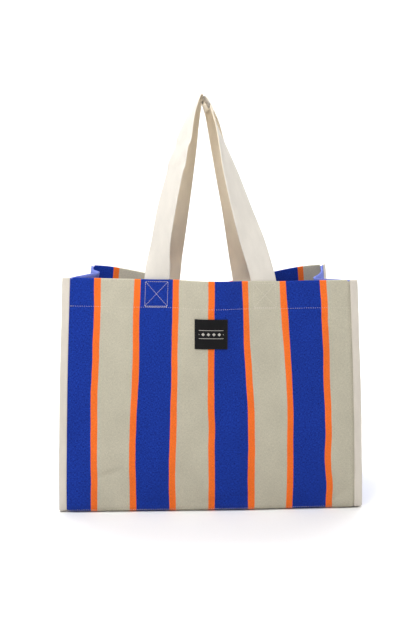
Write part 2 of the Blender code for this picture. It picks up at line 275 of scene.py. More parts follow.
def body_columns():
    """u of the body's columns, and how many of them lie in each side seam and in each fin."""
    flat = WIDTH / 2 - SEAM_BLEND
    blend = flat + SEAM_BLEND * np.array([0.35, 0.65, 1.0])
    fin = np.array([WIDTH / 2 + 0.006, WIDTH / 2 + FIN - TAPE - GAP])
    side = np.concatenate([blend, fin])
    us = np.concatenate([-side[::-1], np.linspace(-flat, flat, 124), side])
    return us, len(side), len(fin)


def body_rows():
    """s and depth into the bag of the body's rows, and how many of them lie in each hem."""
    fold = HEM_STEP / 2
    hem_down = np.linspace(HEM, 0.002, 14)
    turn = np.linspace(0, pi, 7)[1:-1]
    rows = [(s, HEM_STEP) for s in hem_down]
    rows += [(fold * (1 - sin(a)), fold * (1 + cos(a))) for a in turn]
    rows += [(s, 0.0) for s in np.linspace(0.002, TOTAL - 0.002, 262)]
    rows += [(TOTAL - fold * (1 - sin(a)), fold * (1 + cos(a))) for a in turn[::-1]]
    rows += [(TOTAL - s, HEM_STEP) for s in hem_down[::-1]]
    return np.array(rows).T, len(hem_down) + len(turn)


def body_piece(material):
    """The strip of both walls and the base, with its two hems folded inside."""
    us, seam_columns, fin_columns = body_columns()
    (s, inward), hem_rows = body_rows()
    seam_in = FIN_STEP * ease((np.abs(us) - WIDTH / 2 + SEAM_BLEND) / SEAM_BLEND)
    grid = body(us[:, None], s[None, :], inward[None, :] + seam_in[:, None])
    for i in range(fin_columns):
        out = abs(us[i]) - WIDTH / 2
        grid[i] = seam(LEFT, s, inward + FIN_STEP, out)
        grid[-1 - i] = seam(RIGHT, s, inward + FIN_STEP, out)
    run = np.cumsum(np.concatenate([[0], np.hypot(np.diff(s), np.diff(inward))]))
    cloth = np.stack(np.meshgrid(us, run, indexing="ij"), -1)
    cloth[..., 0] += stripe_drift(us[:, None], s[None, :])

    def keep(i, j):
        inside = min(i, len(us) - 2 - i) >= seam_columns - 1
        return inside or hem_rows <= j < len(s) - 1 - hem_rows

    made = mesh_object("canvas_body", grid.reshape(-1, 3), grid_faces(len(us), len(s), keep),
                       cloth.reshape(-1, 2))
    drop_loose(made)
    thicken(made, CLOTH)
    finish_bag_piece(made, material, "striped_canvas", ["body_cloth"])


def drop_loose(made):
    """Deletes vertices without a face and turns all faces outward."""
    bm = bmesh.new()
    bm.from_mesh(made.data)
    bmesh.ops.delete(bm, geom=[v for v in bm.verts if not v.link_faces], context="VERTS")
    bmesh.ops.recalc_face_normals(bm, faces=bm.faces)
    bm.to_mesh(made.data)
    bm.free()


# Gussets

LAYER = CLOTH + GAP
GUSSET_IN = FIN_STEP + LAYER
CORNER_S = WALL + ARC / 2
# Where each gusset's rim folds in: the fold's tip and its share of the way to the back
FOLDS = {LEFT: ((-0.170, -0.026, 0.357), 0.32), RIGHT: ((0.157, -0.048, 0.349), 0.28)}
FOLD_SOFTNESS = 0.07
# How far the back seams are turned to the back at the rim
TURNED_BACK = {LEFT: radians(78), RIGHT: radians(58)}
GUSSET_COLUMNS, GUSSET_ROWS, GUSSET_HEM_ROWS = 61, 91, 12
# Columns at each side of a gusset that its hem leaves free
HEM_MARGIN = 4


def seam(side, s, inward, out):
    """A point beside a side seam, out along the fin."""
    s = np.asarray(s, float)
    u = np.full(s.shape, side * WIDTH / 2)
    place = body(u, s, inward)
    turn = TURNED_BACK[side] * ease((s - TOTAL + WALL) / WALL) ** 0.7
    place[..., 0] += side * out * np.cos(turn)
    place[..., 1] += out * np.sin(turn)
    return place


def rim_curve(side, a):
    """The gusset's rim from the front seam to the back seam, folded in at one point."""
    front, back = seam(side, [0.0], GUSSET_IN, 0)[0], seam(side, [TOTAL], GUSSET_IN, 0)[0]
    tip, tip_a = np.array(FOLDS[side][0]), FOLDS[side][1]
    t = (a - tip_a) / FOLD_SOFTNESS
    soft = np.where(np.abs(t) < 1, (t + 1) ** 2 / 4, np.clip(t, 0, None))
    falling = FOLD_SOFTNESS * soft
    start = front + (tip - front) * ((a - falling) / tip_a)[..., None]
    rim = start + (back - tip) * (falling / (1 - tip_a))[..., None]
    past = np.clip((a - tip_a) / (1 - tip_a), 0, 1)
    rim[..., 0] += side * 0.007 * np.sin(pi * past ** 0.8) ** 2
    return rim


def gusset_place(side):
    """Returns the function of a, across, and b, up, that gives the gusset's middle surface."""

    def run(first, last, t):
        return seam(side, first + (last - first) * t, GUSSET_IN, 0)

    def place(a, b):
        a, b = np.broadcast_arrays(np.asarray(a, float), np.asarray(b, float))
        fa, fb = a[..., None], b[..., None]
        front, back = run(CORNER_S, 0.0, b), run(TOTAL - CORNER_S, TOTAL, b)
        base = run(CORNER_S, TOTAL - CORNER_S, a)
        corner_s = [CORNER_S, TOTAL - CORNER_S, 0.0, TOTAL]
        low_front, low_back, top_front, top_back = seam(side, corner_s, GUSSET_IN, 0)
        rim = top_front + (top_back - top_front) * fa
        corners = (1 - fb) * ((1 - fa) * low_front + fa * low_back) + fb * rim
        plain = (1 - fa) * front + fa * back + (1 - fb) * base + fb * rim - corners
        plain = plain + (rim_curve(side, a) - rim) * (b ** 1.35)[..., None]
        sag = 0.006 * np.sin(pi * a) * np.sin(pi * b) ** 2
        sag = sag + 0.0015 * waves(a, b, 11 + side, 0.25, 0.3) * np.sin(pi * a) * np.sin(pi * b)
        plain[..., 0] -= side * sag
        return plain

    return place


def gusset_offset(place, side, a, b, inward):
    """A point of the gusset moved into the bag."""
    step = GUSSET_SLOPE_STEP
    across = place(a + step, b) - place(a - step, b)
    up = place(a, b + step) - place(a, b - step)
    n = np.cross(across, up) * -side
    n /= np.linalg.norm(n, axis=-1, keepdims=True)
    return place(a, b) + n * np.asarray(inward, float)[..., None]


def shifted(faces, start):
    return [tuple(v + start for v in face) for face in faces]


def strip_faces(first, second):
    """Faces that join two runs of vertices."""
    pairs = list(zip(first, second))
    return [(a, b, d, c) for (a, c), (b, d) in zip(pairs, pairs[1:])]


def cloth_grid(us, vs):
    return np.stack(np.meshgrid(us, vs, indexing="ij"), -1).reshape(-1, 2)


def gusset_edge(a, b):
    """Vertices round the gusset from the front rim to the back rim, and their s on the seam."""
    columns, rows = len(a), len(b)
    edge = list(range(rows - 1, -1, -1))
    edge += [i * rows for i in range(1, columns)]
    edge += [(columns - 1) * rows + j for j in range(1, rows)]
    edge_s = [CORNER_S * (1 - t) for t in b[::-1]]
    edge_s += [CORNER_S + (TOTAL - 2 * CORNER_S) * t for t in a[1:]]
    edge_s += [TOTAL - CORNER_S + CORNER_S * t for t in b[1:]]
    return edge, edge_s


def gusset_piece(side, material):
    """The side panel with its rim's hem and its flange in the seam."""
    place = gusset_place(side)
    a, b = np.linspace(0, 1, GUSSET_COLUMNS), np.linspace(0, 1, GUSSET_ROWS)
    hem_a = a[HEM_MARGIN:-HEM_MARGIN]
    drop = np.linspace(0, HEM, GUSSET_HEM_ROWS) / HEIGHT
    panel = place(a[:, None], b[None, :]).reshape(-1, 3)
    hem_in = np.full((len(hem_a), GUSSET_HEM_ROWS), HEM_STEP)
    hem = gusset_offset(place, side, hem_a[:, None], 1 - drop[None, :], hem_in).reshape(-1, 3)
    edge, edge_s = gusset_edge(a, b)
    flange = seam(side, edge_s, GUSSET_IN, FIN - TAPE - GAP)

    hem_start = len(panel)
    flange_start = hem_start + len(hem)
    faces = grid_faces(GUSSET_COLUMNS, GUSSET_ROWS)
    faces += shifted(grid_faces(len(hem_a), GUSSET_HEM_ROWS), hem_start)
    rim = [i * GUSSET_ROWS + GUSSET_ROWS - 1 for i in range(HEM_MARGIN, GUSSET_COLUMNS - HEM_MARGIN)]
    hem_top = [hem_start + k * GUSSET_HEM_ROWS for k in range(len(hem_a))]
    faces += strip_faces(hem_top, rim)
    faces += strip_faces(edge, [flange_start + k for k in range(len(edge))])
    panel_cloth = cloth_grid(a * DEPTH, b * HEIGHT)
    hem_cloth = cloth_grid(hem_a * DEPTH, HEIGHT + drop * HEIGHT)
    cloth = np.concatenate([panel_cloth, hem_cloth, panel_cloth[edge] + 0.01])

    name = f"gusset_{SIDE_NAMES[side]}"
    made = mesh_object(name, np.concatenate([panel, hem, flange]), faces, cloth)
    drop_loose(made)
    thicken(made, CLOTH)
    finish_bag_piece(made, material, "blue_canvas", [f"{SIDE_NAMES[side]}_gusset"])


# Binding


def binding_section():
    """(out, inward) points around the folded tape, from the wall round to the gusset."""
    outer = FIN_STEP - (CLOTH + TAPE) / 2 - GAP
    inner = FIN_STEP + LAYER + (CLOTH + TAPE) / 2 + GAP
    radius = (inner - outer) / 2
    fold = FIN - TAPE / 2 - radius
    points = [(out, outer) for out in np.linspace(0.0, fold, 6)]
    points += [(fold + radius * sin(a), outer + radius * (1 - cos(a)))
               for a in np.linspace(0, pi, 9)[1:-1]]
    points += [(out, inner) for out in np.linspace(fold, CLOTH / 2 + TAPE / 2 + GAP, 6)]
    return np.array(points)


def binding_piece(side, material):
    """The tape folded over the side seam's fin, with a slightly wavering edge."""
    section = binding_section()
    s = np.linspace(-0.0004, TOTAL + 0.0004, 260)
    wobble = 0.0006 * waves(s, s * 0, 21 + side, 0.05, 1.0)
    wobble = wobble + 0.0003 * waves(s, s * 0, 31 + side, 0.015, 1.0)
    lines = []
    for out, inward in section:
        reach = out + wobble * min(out / 0.006, 1)
        lines.append(seam(side, s, inward, reach))
    across = np.cumsum(np.concatenate([[0], np.hypot(*np.diff(section, axis=0).T)]))
    name = f"binding_{SIDE_NAMES[side]}"
    made = mesh_object(name, np.concatenate(lines), grid_faces(len(section), len(s)),
                       cloth_grid(across, s))
    drop_loose(made)
    thicken(made, TAPE)
    finish_bag_piece(made, material, "binding_cotton", [f"{SIDE_NAMES[side]}_binding_tape"])


# Handles

# Across the loop, up its plane, and degrees of turn, from the left foot over to the right one
LOOPS = {
    FRONT: [(-0.0810, 0.000, 0), (-0.0795, 0.018, 12), (-0.0755, 0.050, 38), (-0.0660, 0.104, 42),
            (-0.0532, 0.157, 50), (-0.0500, 0.170, 45), (-0.0420, 0.196, 59), (-0.0388, 0.207, 54),
            (-0.0300, 0.236, 70), (-0.0180, 0.262, 85), (-0.0110, 0.269, 90),
            (-0.0020, 0.258, 89), (0.0115, 0.222, 82), (0.0310, 0.158, 52), (0.0490, 0.100, 32),
            (0.0640, 0.055, 9), (0.0755, 0.018, 1), (0.0800, 0.000, 0)],
    BACK: [(-0.0690, 0.000, 0), (-0.0630, 0.030, 14), (-0.0530, 0.068, 38), (-0.0405, 0.148, 44),
           (-0.0310, 0.208, 52), (-0.0230, 0.256, 62), (-0.0110, 0.2800, 78), (0.0020, 0.260, 65),
           (0.0115, 0.225, 56), (0.0235, 0.169, 50), (0.0385, 0.109, 35), (0.0510, 0.045, 20),
           (0.0590, 0.012, 6), (0.0610, 0.000, 0)],
}
# y and z of each loop's top, and of its hinge line at the rim
TOPS = {FRONT: (-0.0200, 0.620), BACK: (0.0190, 0.617)}
HINGES = {FRONT: (-0.068, 0.352), BACK: (0.087, 0.342)}
LOOP_POINTS, SEWN_POINTS = 170, 14
# Length over which the free webbing leaves the direction of its sewn end
FOOT_RUN = 0.055


def spline(points, count):
    """A smooth curve through the points, evenly spaced along its length."""
    points = np.asarray(points, float)
    ends = np.vstack([2 * points[0] - points[1], points, 2 * points[-1] - points[-2]])
    fine = []
    for k in range(1, len(ends) - 2):
        p0, p1, p2, p3 = ends[k - 1:k + 3]
        for t in np.linspace(0, 1, 24, endpoint=False):
            fine.append(0.5 * (2 * p1 + (p2 - p0) * t + (2 * p0 - 5 * p1 + 4 * p2 - p3) * t * t
                               + (3 * p1 - p0 - 3 * p2 + p3) * t ** 3))
    fine = np.array(fine + [points[-1]])
    for _ in range(12):
        fine[1:-1] = (fine[:-2] + 2 * fine[1:-1] + fine[2:]) / 4
    length = np.concatenate([[0], np.cumsum(np.linalg.norm(np.diff(fine[:, :2], axis=0), axis=1))])
    even = np.linspace(0, length[-1], count)
    return np.stack([np.interp(even, length, fine[:, k]) for k in range(3)], 1), even


def strap_place(wall):
    """Centre line, width direction, face normal and length along one loop."""
    rows, along = spline(LOOPS[wall], LOOP_POINTS)
    foot = body(FEET[wall], [RIM_S[wall]] * 2, WEB_STEP).mean(0)
    top = np.array([0, *TOPS[wall]])
    up = np.array([0, top[1] - foot[1], top[2] - foot[2]])
    scale = np.linalg.norm(up) / max(p[1] for p in LOOPS[wall])
    up /= np.linalg.norm(up)
    plane = np.array([0, -up[2], up[1]]) * INTO[wall]
    side = np.array([1.0, 0, 0])
    centre = np.array([0, foot[1], foot[2]]) + rows[:, :1] * side + rows[:, 1:2] * scale * up
    d = np.gradient(centre, axis=0)
    d /= np.linalg.norm(d, axis=1, keepdims=True)
    outward = np.cross(d, plane)
    outward *= np.sign(outward @ up + 1e-9 + 2 * (outward @ side) * np.sign(rows[:, 0]))[:, None]
    phi = np.radians(rows[:, 2])[:, None]
    face = plane * np.cos(phi) + outward * np.sin(phi)
    width = np.cross(d, face)
    if width[0][0] < 0:
        width = -width
    return centre, width, face, along


def handle_line(wall, offset, out):
    """A line of the webbing at that offset from its middle and that height over its face."""
    centre, width, face, along = strap_place(wall)
    free = centre + width * offset + face * out
    from_right = along[-1] - along
    inward = WEB_STEP - out
    u_left = FEET[wall][0] + offset
    u_right = FEET[wall][1] + (offset if width[-1][0] > 0 else -offset)
    left_gap = body([u_left], [RIM_S[wall]], inward)[0] - free[0]
    right_gap = body([u_right], [RIM_S[wall]], inward)[0] - free[-1]
    free = free + left_gap * (1 - ease(along / FOOT_RUN))[:, None]
    free = free + right_gap * (1 - ease(from_right / FOOT_RUN))[:, None]
    down = np.linspace(HEM - 0.0015, 0.002, SEWN_POINTS)
    s = RIM_S[wall] + INTO[wall] * down
    left = body(np.full(SEWN_POINTS, u_left), s, inward)
    right = body(np.full(SEWN_POINTS, u_right), s[::-1], inward)
    run = np.concatenate([along[0] - down, along, along[-1] + down[::-1]])
    return np.concatenate([left, free, right]), run


def webbing_section():
    """(offset, out) points round the webbing, with rounded edges."""
    half, thick = STRAP / 2, WEBBING / 2
    flat = half - thick
    turn = np.linspace(0, pi, 5)[1:-1]
    ring = [(x, thick) for x in np.linspace(-flat, flat, 13)]
    ring += [(flat + thick * sin(a), thick * cos(a)) for a in turn]
    ring += [(x, -thick) for x in np.linspace(flat, -flat, 13)]
    ring += [(-flat - thick * sin(a), -thick * cos(a)) for a in turn]
    return ring


def handle_piece(wall, material):
    """One length of webbing, from one sewn end over the loop to the other."""
    lines, cloth = [], []
    for offset, out in webbing_section():
        line, along = handle_line(wall, offset, out)
        lines.append(line)
        cloth.append(np.stack([np.full(len(along), offset), along, np.full(len(along), out)], 1))
    count, rows = len(lines), len(lines[0])
    faces = []
    for i in range(count):
        k = (i + 1) % count
        faces += strip_faces(range(i * rows, i * rows + rows), range(k * rows, k * rows + rows))
    faces.append(tuple(i * rows for i in range(count)))
    faces.append(tuple(i * rows + rows - 1 for i in reversed(range(count))))
    name = WALL_NAMES[wall]
    made = mesh_object(f"handle_{name}", np.concatenate(lines), faces, np.concatenate(cloth))
    drop_loose(made)
    nodes = [f"{name}_handle_loop", f"{name}_left_strap_end", f"{name}_right_strap_end"]
    finish_piece(made, material, "webbing_cotton", nodes)
    y, z = HINGES[wall]
    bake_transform(made)
    length = float(np.linalg.norm(np.diff(lines[6], axis=0), axis=1).sum())


# Label


LABEL_STEP = 0.0005


def label_piece(material):
    us = np.linspace(-LABEL_W / 2, LABEL_W / 2, 40)
    vs = np.linspace(0, LABEL_H, 36)
    lift = -(CLOTH / 2 + LABEL_CLOTH / 2 + LABEL_STEP)
    grid = body(us[:, None], LABEL_DROP + vs[None, :], lift)
    made = mesh_object("label", grid.reshape(-1, 3), grid_faces(40, 36), cloth_grid(us, vs))
    drop_loose(made)
    thicken(made, LABEL_CLOTH)
    finish_bag_piece(made, material, "label_weave", ["woven_label"])


# Stitches


# Along a stitch: share of its length, share of its thickness, how far it sinks
STITCH_STATIONS = ((0.0, 0.35, -1.1), (0.12, 0.85, -0.35), (0.3, 1.0, 0.0), (0.7, 1.0, 0.0),
                   (0.88, 0.85, -0.35), (1.0, 0.35, -1.1))
STITCH_SIDES = 8
LONG_PITCH, BINDING_PITCH, BOX_PITCH, LABEL_PITCH = 0.0034, 0.0032, 0.0030, 0.0019
LABEL_THREAD = 0.00018
STITCH_FROM_EDGE = 0.0015


def capsule(start, end, normal, radius):
    """Vertices and faces of one stitch that dips into the cloth at both ends."""
    along = end - start
    length = np.linalg.norm(along)
    along = along / length
    side = np.cross(along, normal)
    side /= np.linalg.norm(side)
    normal = np.cross(side, along)
    verts, faces = [], []
    for t, size, sink in STITCH_STATIONS:
        centre = start + along * length * t + normal * radius * (sink + 0.25)
        for k in range(STITCH_SIDES):
            a = 2 * pi * k / STITCH_SIDES
            verts.append(centre + (side * cos(a) + normal * sin(a) * 0.8) * radius * size)
    last = (len(STITCH_STATIONS) - 1) * STITCH_SIDES
    for row in range(0, last, STITCH_SIDES):
        above = row + STITCH_SIDES
        for k in range(STITCH_SIDES):
            n = (k + 1) % STITCH_SIDES
            faces.append((row + k, row + n, above + n, above + k))
    faces.append(tuple(reversed(range(STITCH_SIDES))))
    faces.append(tuple(range(last, last + STITCH_SIDES)))
    return verts, faces


def row_stitches(points, normals, pitch, radius, rng):
    """Yields the vertices, faces, length and place of each stitch of one row."""
    run = np.concatenate([[0], np.cumsum(np.linalg.norm(np.diff(points, axis=0), axis=1))])
    count = max(1, int(round(run[-1] / pitch)))
    real = run[-1] / count

    def at(values, t):
        return np.array([np.interp(t, run, values[:, k]) for k in range(3)])

    for k in range(count):
        jitter = rng.uniform(-0.04, 0.04, 2) * real
        a, b = (k + 0.12) * real + jitter[0], (k + 0.88) * real + jitter[1]
        verts, faces = capsule(at(points, a), at(points, b), at(normals, (a + b) / 2), radius)
        yield verts, faces, b - a, k * real


def stitch_rows(name, rows, pitch, thread, nodes, seed):
    """One object with a row of stitches along each line of points and normals."""
    material, slot, radius = thread
    rng = np.random.RandomState(seed)
    verts, faces, cloth = [], [], []
    for points, normals in rows:
        for more, more_faces, length, start in row_stitches(points, normals, pitch, radius, rng):
            faces += shifted(more_faces, len(verts))
            cloth += [(length, start, 0.0)] * len(more)
            verts += more
    made = mesh_object(name, verts, faces, np.array(cloth))
    drop_loose(made)
    finish_bag_piece(made, material, slot, nodes)


def body_line(us, ss, out):
    us, ss = np.broadcast_arrays(np.asarray(us, float), np.asarray(ss, float))
    normals = -normal_of(shaped, us, np.clip(ss, NEAR_RIM, TOTAL - NEAR_RIM))
    return body(us, ss, -out), normals


def wall_stitches(wall, thread):
    """The hem row, the row above the base's crease and the two crossed boxes of one wall."""
    surface = CLOTH / 2
    reach = WIDTH / 2 - 0.001
    us = np.linspace(-reach, reach, 160)
    name = WALL_NAMES[wall]
    start, into = RIM_S[wall], INTO[wall]
    dip = 0.0004 * waves(us, us * 0, 41 + wall, 0.04, 1) + 0.0006 * bump(us, 0.0, 0.05)
    hem = body_line(us, start + into * (HEM - STITCH_FROM_EDGE + dip), surface)
    stitch_rows(f"hem_thread_{name}", [hem], LONG_PITCH, thread, [f"{name}_hem_stitch"], 7 + wall)
    low = body_line(us, start + into * (WALL + 0.0045), surface)
    stitch_rows(f"base_thread_{name}", [low], LONG_PITCH, thread, [f"{name}_base_stitch"], 17 + wall)
    for side, foot in zip((LEFT, RIGHT), FEET[wall]):
        side_name = SIDE_NAMES[side]
        stitch_rows(f"box_thread_{name}_{side_name}", box_rows(foot, wall, surface), BOX_PITCH,
                    thread, [f"{name}_{side_name}_box_stitch"], 27 + side)


def side_stitches(side, thread):
    """The binding's two rows and the gusset's hem row."""
    surface = CLOTH / 2
    name = SIDE_NAMES[side]
    stitch_rows(f"binding_thread_{name}", binding_rows(side), BINDING_PITCH, thread,
                [f"{name}_binding_stitch"], 37 + side)
    place = gusset_place(side)
    a = np.linspace(0.06, 0.94, 60)
    b = np.full(60, 1 - (HEM - STITCH_FROM_EDGE) / HEIGHT)
    line = gusset_offset(place, side, a, b, np.full(60, -surface))
    inner = gusset_offset(place, side, a, b, np.full(60, surface))
    stitch_rows(f"gusset_thread_{name}", [(line, line - inner)], LONG_PITCH, thread,
                [f"{name}_gusset_hem_stitch"], 47 + side)


def all_stitches(natural, black):
    natural_thread = (natural, "natural_thread", THREAD / 2)
    for wall in (FRONT, BACK):
        wall_stitches(wall, natural_thread)
    for side in (LEFT, RIGHT):
        side_stitches(side, natural_thread)
    black_thread = (black, "black_thread", LABEL_THREAD)
    stitch_rows("label_thread", label_rows(), LABEL_PITCH, black_thread, ["label_stitch"], 57)


def polyline(corners, counts, lift):
    """A row on the body cloth along each side of a run of (u, s) corners."""
    rows = []
    for (u0, s0), (u1, s1) in zip(corners, corners[1:]):
        t = np.linspace(0, 1, counts)
        rows.append(body_line(u0 + (u1 - u0) * t, s0 + (s1 - s0) * t, lift))
    return rows


def box_rows(centre, wall, surface):
    """The crossed box over a strap end, with its lower side sewn three times."""
    left, right = centre - STRAP / 2 + 0.0022, centre + STRAP / 2 - 0.0022
    start, into = RIM_S[wall], INTO[wall]
    top, low = start + into * 0.0030, start + into * (HEM - 0.0035)
    rows = polyline([(left, top), (right, top), (right, low), (left, low), (left, top)], 20, surface)
    rows += polyline([(left, top), (right, low)], 24, surface)
    rows += polyline([(right, top), (left, low)], 24, surface)
    for extra in (0.0009, 0.0018):
        rows += polyline([(left, low + into * extra), (right, low + into * extra)], 20, surface)
    return rows


def binding_rows(side):
    """The two rows on the tape's outer and inner faces."""
    s = np.linspace(0.001, TOTAL - 0.001, 500)
    section = binding_section()
    out = 0.0026 + 0.0003 * waves(s, s * 0, 51 + side, 0.03, 1)
    normal = normal_of(shaped, np.full(s.shape, side * WIDTH / 2), s)
    outer = seam(side, s, section[0][1] - TAPE / 2, out)
    inner = seam(side, s, section[-1][1] + TAPE / 2, out)
    return [(outer, -normal), (inner, normal)]


def label_rows():
    lift = CLOTH / 2 + LABEL_CLOTH + LABEL_STEP
    half = LABEL_W / 2 - 0.0014
    top, low = LABEL_DROP + 0.0014, LABEL_DROP + LABEL_H - 0.0014
    corners = [(-half, top), (half, top), (half, low), (-half, low), (-half, top)]
    return polyline(corners, 24, lift)


# Materials

CLOTH_GLOSS = 0.06


class Shader:
    """A material's node tree, with short ways to add nodes to it."""

    def __init__(self, name, roughness, sheen):
        self.material = bpy.data.materials.new(name)
        self.material.use_nodes = True
        self.tree = self.material.node_tree
        self.bsdf = self.tree.nodes["Principled BSDF"]
        self.bsdf.inputs["Roughness"].default_value = roughness
        self.bsdf.inputs["Specular IOR Level"].default_value = CLOTH_GLOSS
        self.bsdf.inputs["Sheen Weight"].default_value = sheen
        self.bsdf.inputs["Sheen Roughness"].default_value = 0.6

    def node(self, kind, **values):
        made = self.tree.nodes.new(kind)
        for key, value in values.items():
            setattr(made, key, value)
        return made

    def put(self, socket, value):
        if isinstance(value, (int, float)):
            socket.default_value = value
        elif isinstance(value, tuple):
            socket.default_value = (*value, 1) if len(value) == 3 and socket.type == "RGBA" else value
        else:
            self.tree.links.new(value, socket)

    def math(self, operation, *values):
        made = self.node("ShaderNodeMath", operation=operation)
        for socket, value in zip(made.inputs, values):
            self.put(socket, value)
        return made.outputs[0]

    def mix(self, share, a, b, blend="MIX"):
        made = self.node("ShaderNodeMix", data_type="RGBA", blend_type=blend)
        self.put(made.inputs["Factor"], share)
        self.put(made.inputs[6], a)
        self.put(made.inputs[7], b)
        return made.outputs[2]

    def cloth(self):
        """The cloth's own coordinates across, along and through it, and the vector of all three."""
        made = self.node("ShaderNodeAttribute", attribute_name="cloth")
        split = self.node("ShaderNodeSeparateXYZ")
        self.put(split.inputs[0], made.outputs["Vector"])
        return (*split.outputs, made.outputs["Vector"])

    def plain(self, colour):
        made = self.node("ShaderNodeRGB")
        made.outputs[0].default_value = (*colour, 1)
        return made.outputs[0]

    def base_colour(self, colour, factor):
        """The surface's colour, made lighter or darker by a factor near 1."""
        made = self.node("ShaderNodeHueSaturation")
        self.put(made.inputs["Color"], colour)
        self.put(made.inputs["Value"], factor)
        self.put(self.bsdf.inputs["Base Color"], made.outputs[0])

    def noise(self, vector, scale, stretch=(1, 1, 1), detail=2.0):
        mapping = self.node("ShaderNodeMapping")
        mapping.inputs["Scale"].default_value = tuple(scale * k for k in stretch)
        self.put(mapping.inputs["Vector"], vector)
        made = self.node("ShaderNodeTexNoise")
        made.inputs["Scale"].default_value = 1.0
        made.inputs["Detail"].default_value = detail
        self.put(made.inputs["Vector"], mapping.outputs[0])
        return made.outputs["Fac"]

    def ramp(self, value, low, high, from_low=0.0, from_high=1.0, smooth=True):
        made = self.node("ShaderNodeMapRange")
        made.interpolation_type = "SMOOTHSTEP" if smooth else "LINEAR"
        made.inputs["From Min"].default_value = from_low
        made.inputs["From Max"].default_value = from_high
        made.inputs["To Min"].default_value = low
        made.inputs["To Max"].default_value = high
        self.put(made.inputs["Value"], value)
        return made.outputs[0]

    def weave(self, u, v, pitch):
        """Height of a plain weave's threads, and the gaps between them."""
        a = self.math("MULTIPLY", u, pi / pitch)
        b = self.math("MULTIPLY", v, pi / pitch)
        over = self.math("MULTIPLY", self.math("COSINE", a), self.math("COSINE", b))
        gaps = self.math("MULTIPLY", self.math("ABSOLUTE", self.math("SINE", a)),
                         self.math("ABSOLUTE", self.math("SINE", b)))
        return over, gaps

    def bump(self, height, distance, strength=1.0):
        made = self.node("ShaderNodeBump")
        made.inputs["Distance"].default_value = distance
        made.inputs["Strength"].default_value = strength
        self.put(made.inputs["Height"], height)
        self.put(self.bsdf.inputs["Normal"], made.outputs[0])


def srgb(r, g, b):
    """A linear colour from one in 8-bit display values."""
    values = [c / 255 for c in (r, g, b)]
    return tuple(c / 12.92 if c <= 0.04045 else ((c + 0.055) / 1.055) ** 2.4 for c in values)


BLUE = srgb(25, 55, 152)
SAGE = srgb(196, 190, 170)
ORANGE = srgb(250, 118, 46)
PERIWINKLE = srgb(112, 126, 205)
NATURAL = srgb(216, 208, 196)
CREAM = srgb(223, 217, 207)
# Painted warm shade for the webbing's inner face; the real webbing is one cream on both faces
PAINTED_SHADE_CREAM = srgb(236, 222, 198)
THREAD_BLACK = srgb(24, 23, 25)
LABEL_BLACK = srgb(15, 14, 16)
LABEL_PALE = srgb(190, 186, 178)
PERIOD = 0.120
CANVAS_PITCH = 0.00075
CANVAS_RELIEF = 0.00016
# Twelfths of the period at which each stripe starts
STRIPES = ((0, ORANGE), (0.5, BLUE), (5.5, ORANGE), (6.5, SAGE), (11.5, ORANGE))


def stripe_colour(shader, u, vector):
    """The stripes' colour, and the place within their period from 0 to 1."""
    sway = shader.ramp(shader.noise(vector, 1.0, (11, 8, 1)), -0.0018, 0.0018, 0.25, 0.75, False)
    edge = shader.noise(vector, 1.0, (300, 900, 1), 1.0)
    edge = shader.ramp(edge, -0.00015, 0.00015, 0.3, 0.7, False)
    line = shader.math("ADD", shader.math("ADD", u, sway), edge)
    phase = shader.math("FLOORED_MODULO", shader.math("ADD", line, PERIOD * 4), PERIOD)
    phase = shader.math("DIVIDE", phase, PERIOD)
    made = shader.node("ShaderNodeValToRGB")
    made.color_ramp.interpolation = "CONSTANT"
    stops = made.color_ramp.elements
    for k, (twelfths, colour) in enumerate(STRIPES):
        stop = stops[k] if k < len(stops) else stops.new(twelfths / 12)
        stop.position = twelfths / 12
        stop.color = (*colour, 1)
    shader.put(made.inputs[0], phase)
    return made.outputs[0], phase


def canvas_yarns(shader, u, v, vector):
    """The sum and the warp of the canvas's uneven yarns, and the shade of its gaps."""
    over, gaps = shader.weave(u, v, CANVAS_PITCH)
    warp = shader.noise(vector, 1.0, (1100, 330, 1), 2.0)
    weft = shader.noise(vector, 1.0, (330, 1100, 1), 2.0)
    yarns = shader.math("ADD", warp, weft)
    height = shader.math("SUBTRACT", shader.math("MULTIPLY", over, 0.35), gaps)
    height = shader.math("ADD", height, shader.math("MULTIPLY", yarns, 1.6))
    shader.bump(height, CANVAS_RELIEF)
    return yarns, warp, shader.ramp(gaps, 1.0, 0.80, 0.5, 1.0)


def canvas_material():
    """Plain-woven stripes: wide blue and sage ones, with narrow orange ones between."""
    shader = Shader("striped_canvas_cloth", 0.85, 0.03)
    u, v, _, vector = shader.cloth()
    stripes, phase = stripe_colour(shader, u, vector)
    yarns, warp, dip = canvas_yarns(shader, u, v, vector)
    blotch = shader.noise(vector, 1.0, (30, 22, 1), 4.0)
    blue = shader.math("COMPARE", phase, 3 / 12, 2.5 / 12)
    depth = shader.math("ADD", shader.math("MULTIPLY", blue, 0.40), 0.13)
    slub = shader.ramp(yarns, -1.0, 1.0, 0.7, 1.3, False)
    wear = shader.ramp(blotch, 0.95, 1.05, 0.3, 0.7, False)
    tone = shader.math("MULTIPLY", shader.math("MULTIPLY_ADD", slub, depth, 1.0), wear)
    shader.base_colour(stripes, shader.math("MULTIPLY", tone, dip))
    shader.put(shader.bsdf.inputs["Roughness"], shader.ramp(warp, 0.78, 0.95, 0.3, 0.7, False))
    return shader.material


def plain_canvas_material():
    shader = Shader("blue_canvas_cloth", 0.85, 0.04)
    u, v, _, vector = shader.cloth()
    yarns, _, dip = canvas_yarns(shader, u, v, vector)
    tone = shader.ramp(yarns, 0.80, 1.20, 0.7, 1.3, False)
    shader.base_colour(shader.plain(PERIWINKLE), shader.math("MULTIPLY", tone, dip))
    return shader.material


